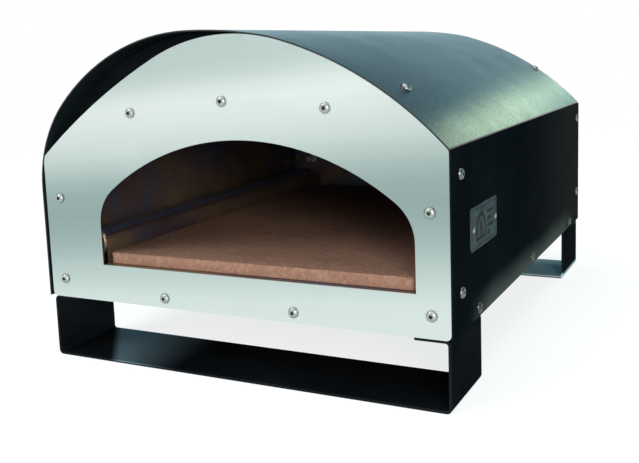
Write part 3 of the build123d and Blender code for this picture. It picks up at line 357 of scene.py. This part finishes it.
def badge_ink():
    m = Mat("badge_ink")
    wear = m.noise(420.0, 4.0, 0.7)
    tone = m.mix(m.remap(wear, 0.52, 0.68, 0, 0.7), (0.004, 0.005, 0.006), (0.03, 0.04, 0.042))
    m.set(color=tone, rough=m.remap(wear, 0.3, 0.7, 0.4, 0.6), spec=0.02, normal=m.bump(wear, 0.2, 0.0001))
    return m.m


def knob_plastic():
    m = Mat("knob_plastic")
    spark = m.noise(2200.0, 2.0, 0.6)
    rub = m.remap(m.noise(55.0, 4.0, 0.6), 0.5, 0.75, 0, 1, True)
    tone = m.mix(rub, (0.016, 0.016, 0.017), (0.035, 0.035, 0.036))
    m.set(color=tone, rough=m.math("SUBTRACT", m.remap(spark, 0.3, 0.7, 0.44, 0.56), m.math("MULTIPLY", rub, 0.12)), spec=0.5, normal=m.bump(spark, 0.25, 0.0002))
    return m.m


def pointer_white():
    m = Mat("pointer_white")
    grime = m.noise(300.0, 4.0, 0.6)
    m.set(color=m.mix(m.remap(grime, 0.5, 0.75, 0, 0.5), (0.82, 0.82, 0.79), (0.52, 0.50, 0.45)), rough=m.remap(grime, 0.3, 0.7, 0.3, 0.45), normal=m.bump(grime, 0.1, 0.0001))
    return m.m


def ceramic():
    m = Mat("spark_ceramic")
    spots = m.remap(m.noise(340.0, 4.0, 0.7), 0.60, 0.72, 0, 1)
    tone = m.mix(m.math("MULTIPLY", spots, 0.5), (0.84, 0.82, 0.76), (0.45, 0.33, 0.22))
    m.set(color=tone, rough=m.remap(m.noise(90.0), 0.3, 0.7, 0.12, 0.24), spec=0.5, coat=0.6, coat_rough=0.08, normal=m.bump(m.noise(500.0), 0.06, 0.0001))
    return m.m


def probe_metal():
    m = Mat("probe_metal")
    grain = m.noise(800.0, 3.0)
    tone = m.mix(m.remap(m.noise(200.0, 3.0), 0.4, 0.7, 0, 1), (0.46, 0.30, 0.18), (0.16, 0.13, 0.16))
    m.set(color=tone, rough=m.remap(grain, 0.3, 0.7, 0.3, 0.5), metal=1.0, normal=m.bump(grain, 0.12, 0.0001))
    return m.m


def lead_sleeve():
    """Braided silicone sleeve."""
    m = Mat("lead_insulation")
    a = m.node("ShaderNodeTexWave", {"Vector": m.coord, "Scale": 330.0, "Distortion": 0.6}, wave_type="BANDS", bands_direction="DIAGONAL").outputs[1]
    b = m.node("ShaderNodeTexWave", {"Vector": m.stretch((1, 1, -1)), "Scale": 330.0, "Distortion": 0.6}, wave_type="BANDS", bands_direction="DIAGONAL").outputs[1]
    weave = m.math("MULTIPLY", a, b)
    tone = m.mix(weave, (0.20, 0.030, 0.018), (0.42, 0.085, 0.05))
    m.set(color=tone, rough=m.remap(weave, 0, 1, 0.75, 0.55), sheen=0.2, normal=m.bump(weave, 0.5, 0.0004))
    return m.m


looks = {
    "brushed_plate": brushed_steel(),
    "black_casing": powder("powder_roof", (0.0060, 0.0105, 0.0120), 0.25, 0.50, 0.8, 0.02),
    # painted reflection on the side panel: a lighter tone towards the rear and a pale band along the bottom edge
    "black_side": powder("powder_side", (0.0050, 0.0085, 0.0105), 0.46, 0.0, 0.8, 0.03, 0.6, 0.03, [((0.030, 0.037, 0.036), 0.7, (1, -0.08, 0.24)), ((0.105, 0.130, 0.118), 1.0, (2, 0.088, 0.056), (1, -0.240, -0.160), (1, 0.23, 0.13))]),
    "black_pan": powder("powder_pan", (0.0070, 0.0095, 0.0110), 0.42, 0.0, 0.8, 0.05, 0.6, 0.1),
    # painted reflection on the front leg: a pale blue patch on the strap's top, cut off on a slant where the
    # upright's reflection falls
    "black_leg": powder("powder_leg", (0.0080, 0.0105, 0.0130), 0.38, 0.0, 0.7, 0.04, 0.6, 0.03, [((0.20, 0.32, 0.38), 1.0, (0, -0.06, -0.150), ((0, 1, 0.75), -0.342, -0.328), (2, 0.008, 0.004), (2, 0.0010, 0.0020))]),
    # painted reflection on the rear leg: a copy of the leg coat with a pale blue patch on the strap's top
    "black_leg_rear": powder("powder_leg_rear", (0.0080, 0.0105, 0.0130), 0.38, 0.0, 0.7, 0.04, 0.6, 0.03, [((0.48, 0.66, 0.70), 0.9, (0, -0.01, 0.05), (2, 0.008, 0.004), (2, 0.0010, 0.0020))]),
    "screw_steel": screw_steel("screw_steel", (0.39, 0.425, 0.405), (0.21, 0.23, 0.22)),
    # painted shade: a darker copy of the screw steel for the side-panel and leg screws
    "screw_side": screw_steel("screw_side", (0.17, 0.185, 0.18), (0.08, 0.085, 0.085), 0.080),
    "zinc_nuts": zinc(),
    "badge_metal": badge_metal(),
    "badge_rivet": screw_steel("badge_rivet", (0.30, 0.33, 0.32), (0.16, 0.17, 0.17)),
    "badge_ink": badge_ink(),
    "heat_steel": heat_steel(),
    "baking_stone": baking_stone(),
    "mineral_wool": mineral_wool(),
    "burner_steel": burner_steel(),
    "valve_brass": brass(),
    "stem_steel": plain_steel(),
    "pipe_aluminium": pipe_aluminium(),
    "knob_plastic": knob_plastic(),
    "pointer_white": pointer_white(),
    "spark_ceramic": ceramic(),
    "probe_metal": probe_metal(),
    "lead_insulation": lead_sleeve(),
}
slot_of = {p["node"]: p["material_slot"] for p in frame["record"]["subparts"]}
# the roof screws take the darker rivet steel as painted shade; the rear leg and side panel take coats carrying
# painted reflections
own_look = {"rear_leg": "black_leg_rear", "badge_rivets": "badge_rivet", "roof_screws": "badge_rivet", "right_side_screws": "screw_side", "leg_screws": "screw_side", "right_side_panel": "black_side", "base_pan": "black_pan", "front_bulkhead": "black_pan"}
for name, obj in nodes.items():
    obj.data.materials.clear()
    obj.data.materials.append(looks[own_look.get(name, slot_of[name])])


# ------------------------------------------------------------------ soft edges on the sheet metal
def soften(name, width, segments=2, angle=35):
    obj = nodes[name]
    weld = obj.modifiers.new("weld", "WELD")
    weld.merge_threshold = 0.00001
    bevel = obj.modifiers.new("edge", "BEVEL")
    bevel.width = width
    bevel.segments = segments
    bevel.limit_method = "ANGLE"
    bevel.angle_limit = math.radians(angle)
    bevel.harden_normals = False
    bevel.use_clamp_overlap = True


for name, width in (("front_leg", 0.0004), ("rear_leg", 0.0004)):
    soften(name, width)

# ------------------------------------------------------------------ markings, in mesh
def piece(name, bm, body, look):
    mesh = bpy.data.meshes.new(name)
    bmesh.ops.recalc_face_normals(bm, faces=bm.faces)
    bm.to_mesh(mesh)
    bm.free()
    obj = bpy.data.objects.new(name, mesh)
    scene.collection.objects.link(obj)
    mesh.materials.append(looks[look])
    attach(obj, body)
    return obj


def band(bm, outer, inner, place, thick):
    """A closed raised band between two loops of the same length; place(u, v, h) puts a point on the surface."""
    rings = [[bm.verts.new(place(u, v, h)) for u, v in loop] for loop, h in ((outer, 0), (outer, thick), (inner, thick), (inner, 0))]
    n = len(outer)
    for r in range(4):
        a, b = rings[r], rings[(r + 1) % 4]
        for i in range(n):
            bm.faces.new((a[i], a[(i + 1) % n], b[(i + 1) % n], b[i]))


def pad(bm, outline, place, thick):
    """A raised flat shape with slightly drawn-in top edges."""
    n = len(outline)
    cu, cv = sum(u for u, v in outline) / n, sum(v for u, v in outline) / n
    top = [(cu + (u - cu) * 0.97, cv + (v - cv) * 0.97) for u, v in outline]
    low = [bm.verts.new(place(u, v, 0)) for u, v in outline]
    high = [bm.verts.new(place(u, v, thick)) for u, v in top]
    for i in range(n):
        bm.faces.new((low[i], low[(i + 1) % n], high[(i + 1) % n], high[i]))
    bm.faces.new(high)
    bm.faces.new(low)


def rounded_bar(u0, u1, v0, v1, r, steps=5):
    pts = []
    for cu, cv, a0 in ((u1 - r, v1 - r, 0), (u0 + r, v1 - r, 90), (u0 + r, v0 + r, 180), (u1 - r, v0 + r, 270)):
        for k in range(steps + 1):
            a = math.radians(a0 + 90 * k / steps)
            pts.append((cu + r * math.cos(a), cv + r * math.sin(a)))
    return pts


def teardrop(cu, cv, w, h, lean, steps=40):
    pts = []
    for k in range(steps):
        t = 2 * math.pi * k / steps
        v = h / 2 * math.cos(t)
        pts.append((cu + w / 2 * 1.3 * math.sin(t) * math.sin(t / 2) ** 1.5 + lean * max(0.0, v / h) ** 2, cv + v))
    return pts


# folded strip that closes the gap between the mouth's lip and the stone
stone_low, stone_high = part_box("pizza_stone")
plate_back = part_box("front_plate")[1].y
LIP = BODY_Z + 0.035
profile = [(plate_back + 0.0001, LIP - 0.0060), (plate_back + 0.0001, LIP - 0.0006), (plate_back + 0.0003, LIP - 0.0002), (plate_back + 0.0007, LIP),
           (stone_low.y + 0.0010, LIP + 0.00025), (stone_low.y + 0.0040, LIP + 0.00025)]
bm = bmesh.new()
ends = (stone_low.x - 0.003, stone_high.x + 0.001)
count = 24
rows = []
for k in range(count + 1):
    x = ends[0] + (ends[1] - ends[0]) * k / count
    skin = [bm.verts.new((x, y, z)) for y, z in profile]
    under = [bm.verts.new((x, y + (0.0006 if n < 3 else 0.0), z - (0.0 if n < 3 else 0.0006))) for n, (y, z) in enumerate(profile)]
    rows.append(skin + under[::-1])
for a, b in zip(rows, rows[1:]):
    for i in range(len(a)):
        bm.faces.new((a[i], a[(i + 1) % len(a)], b[(i + 1) % len(a)], b[i]))
bm.faces.new(rows[0])
bm.faces.new(rows[-1][::-1])
piece("stone_lip_strip", bm, "oven", "heat_steel")

# badge: an arch over a flame and a few plain bars, a pattern of no maker's
badge_low, badge_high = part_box("badge_plate")
by, bz = (badge_low.y + badge_high.y) / 2, (badge_low.z + badge_high.z) / 2
INK = 0.00006


def on_badge(u, v, h):
    return (badge_high.x - 0.00001 + h, by + u / 1000, bz + v / 1000)


bm = bmesh.new()
arch_out, arch_in = [], []
for k in range(33):
    a = math.pi * k / 32
    arch_out.append((-10 + 14.6 * math.cos(a), -6.5 + 18.3 * math.sin(a)))
    arch_in.append((-10 + 11.2 * math.cos(a), -6.5 + 14.2 * math.sin(a)))
arch_out += [(-24.6, -11.6), (4.6, -11.6)]
arch_in += [(-21.2, -8.9), (1.2, -8.9)]
band(bm, arch_out, arch_in, on_badge, INK)
band(bm, teardrop(-10, -1.3, 9.4, 13.6, 5.0), teardrop(-10, -4.0, 3.0, 4.6, 2.0), on_badge, INK)
for v0, u1 in ((6.4, 27.0), (0.4, 22.0), (-5.6, 27.0), (-11.6, 17.0)):
    pad(bm, rounded_bar(8.5, u1, v0, v0 + 3.2, 1.4), on_badge, INK)
edge_out = rounded_bar(-36.6, 36.6, -15.6, 15.6, 2.6)
edge_in = rounded_bar(-36.0, 36.0, -15.0, 15.0, 2.0)
band(bm, edge_out, edge_in, on_badge, INK)
piece("badge_pattern", bm, "oven", "badge_ink")

# dial round the knob: a wedge from large to small flame, an off mark and fine ticks
bezel_low, bezel_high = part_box("knob_bezel")
kx, kz = (bezel_low.x + bezel_high.x) / 2, (bezel_low.z + bezel_high.z) / 2


def on_bezel(u, v, h):
    return (kx + u / 1000, bezel_high.y - 0.00001 + h, kz + v / 1000)


def polar(r, turn):
    a = math.radians(turn)
    return (r * math.sin(a), r * math.cos(a))


bm = bmesh.new()
arc_n = 36
outer_edge = [polar(28.4, 72 + 114 * k / arc_n) for k in range(arc_n + 1)]
inner_edge = [polar(24.0 + 3.6 * k / arc_n, 72 + 114 * k / arc_n) for k in range(arc_n + 1)]
rows = [[bm.verts.new(on_bezel(u, v, h)) for u, v in row] for row, h in ((outer_edge, 0), (outer_edge, INK), (inner_edge, INK), (inner_edge, 0))]
for r in range(4):
    a, b = rows[r], rows[(r + 1) % 4]
    for i in range(arc_n):
        bm.faces.new((a[i], a[i + 1], b[i + 1], b[i]))
bm.faces.new([rows[r][0] for r in range(4)])
bm.faces.new([rows[r][-1] for r in range(4)][::-1])
pad(bm, [(polar(26.4, 0)[0] + 1.5 * math.cos(math.tau * k / 24), polar(26.4, 0)[1] + 1.5 * math.sin(math.tau * k / 24)) for k in range(24)], on_bezel, INK)
for turn in (30, 45, 60):
    c, sn = math.cos(math.radians(turn)), math.sin(math.radians(turn))
    corners = []
    for r, side in ((28.2, 0.3), (28.2, -0.3), (25.8, -0.3), (25.8, 0.3)):
        corners.append((r * sn + side * c, r * c - side * sn))
    pad(bm, corners, on_bezel, INK)
piece("dial_marks", bm, "oven", "badge_ink")

# ------------------------------------------------------------------ floor and light
floor_mesh = bpy.data.meshes.new("floor")
bm = bmesh.new()
bmesh.ops.create_grid(bm, x_segments=1, y_segments=1, size=14.0)
bm.to_mesh(floor_mesh)
bm.free()
floor = bpy.data.objects.new("floor", floor_mesh)
scene.collection.objects.link(floor)
fm = Mat("floor")
fm.set(color=fm.mix(fm.noise(3.0, 2.0), (0.25, 0.25, 0.25), (0.27, 0.27, 0.27)), rough=0.9, spec=0.05, glow=(0.985, 1.0, 1.0), glow_power=0.79)
away = fm.node("ShaderNodeVectorMath", {0: fm.node("ShaderNodeTexCoord").outputs["Object"]}, operation="LENGTH").outputs["Value"]
clear = fm.node("ShaderNodeBsdfTransparent").outputs[0]
blend = fm.node("ShaderNodeMixShader")
fm.put(blend.inputs[0], fm.remap(away, 0.9, 2.4, 0, 1, True))
fm.t.links.new(fm.bsdf.outputs[0], blend.inputs[1])
fm.t.links.new(clear, blend.inputs[2])
fm.t.links.new(blend.outputs[0], fm.out.inputs[0])
floor_mesh.materials.append(fm.m)

world = bpy.data.worlds.new("studio")
scene.world = world
world.use_nodes = True
w = world.node_tree
w.nodes.clear()
w_out = w.nodes.new("ShaderNodeOutputWorld")
w_bg = w.nodes.new("ShaderNodeBackground")
w_dir = w.nodes.new("ShaderNodeSeparateXYZ")
w.links.new(w.nodes.new("ShaderNodeTexCoord").outputs["Generated"], w_dir.inputs[0])


def w_range(source, a, b, smooth=False):
    n = w.nodes.new("ShaderNodeMapRange")
    n.interpolation_type = "SMOOTHSTEP" if smooth else "LINEAR"
    n.inputs[1].default_value, n.inputs[2].default_value = a, b
    w.links.new(source, n.inputs[0])
    return n.outputs[0]


def w_sky(stops):
    n = w.nodes.new("ShaderNodeValToRGB")
    w.links.new(w_range(w_dir.outputs[2], -1.0, 1.0), n.inputs[0])
    while len(n.color_ramp.elements) < len(stops):
        n.color_ramp.elements.new(0.5)
    for e, (at, c) in zip(n.color_ramp.elements, stops):
        e.position, e.color = at, (*c, 1)
    return n.outputs[0]


# white at the horizon; above it a dim blue-green studio behind the oven and a paler one in front of it
behind = w_sky([(0.0, (1, 1, 1)), (0.540, (1, 1, 1)), (0.575, (0.66, 1.06, 1.16)), (0.625, (0.66, 1.08, 1.20)), (0.66, (0.23, 0.44, 0.52)), (0.71, (0.07, 0.16, 0.22)), (1.0, (0.20, 0.31, 0.36))])
before = w_sky([(0.0, (1, 1, 1)), (0.545, (1, 1, 1)), (0.60, (0.80, 0.83, 0.83)), (1.0, (0.55, 0.60, 0.61))])
w_mix = w.nodes.new("ShaderNodeMix")
w_mix.data_type = "RGBA"
dim = w_sky([(0.0, (1, 1, 1)), (0.540, (1, 1, 1)), (0.570, (0.40, 0.66, 0.74)), (1.0, (0.40, 0.66, 0.74))])
w_right = w.nodes.new("ShaderNodeMix")
w_right.data_type, w_right.blend_type = "RGBA", "MULTIPLY"
w.links.new(w_range(w_dir.outputs[0], -0.10, 0.04, True), w_right.inputs[0])
w.links.new(behind, w_right.inputs[6])
w.links.new(dim, w_right.inputs[7])
w.links.new(w_range(w_dir.outputs[1], -0.45, 0.35, True), w_mix.inputs[0])
w.links.new(before, w_mix.inputs[6])
w.links.new(w_right.outputs[2], w_mix.inputs[7])
w.links.new(w_mix.outputs[2], w_bg.inputs[0])
w_bg.inputs[1].default_value = 1.0
w.links.new(w_bg.outputs[0], w_out.inputs[0])


def softbox(name, where, aim, size, power, tint=(1, 1, 1)):
    data = bpy.data.lights.new(name, "AREA")
    data.shape = "RECTANGLE"
    data.size, data.size_y = size
    data.energy = power
    data.color = tint
    lamp = bpy.data.objects.new(name, data)
    scene.collection.objects.link(lamp)
    lamp.location = where
    lamp.rotation_mode = "QUATERNION"
    lamp.rotation_quaternion = (Vector(aim) - Vector(where)).to_track_quat("-Z", "Y")
    return lamp


softbox("key", (-1.6, -2.2, 2.2), (0, 0, 0.1), (1.6, 1.6), 34)
softbox("back_right", (0.50, 2.95, 1.06), (0.18, -0.1, 0.22), (0.42, 0.40), 2.35, (0.80, 1.0, 0.62))
softbox("top", (0.0, 0.2, 2.6), (0, 0, 0), (2.8, 2.8), 46, (1.0, 0.99, 0.985))
softbox("mouth", (1.0, -1.5, 0.55), (-0.12, 0.0, 0.12), (0.5, 0.4), 15, (1.0, 0.93, 0.86))
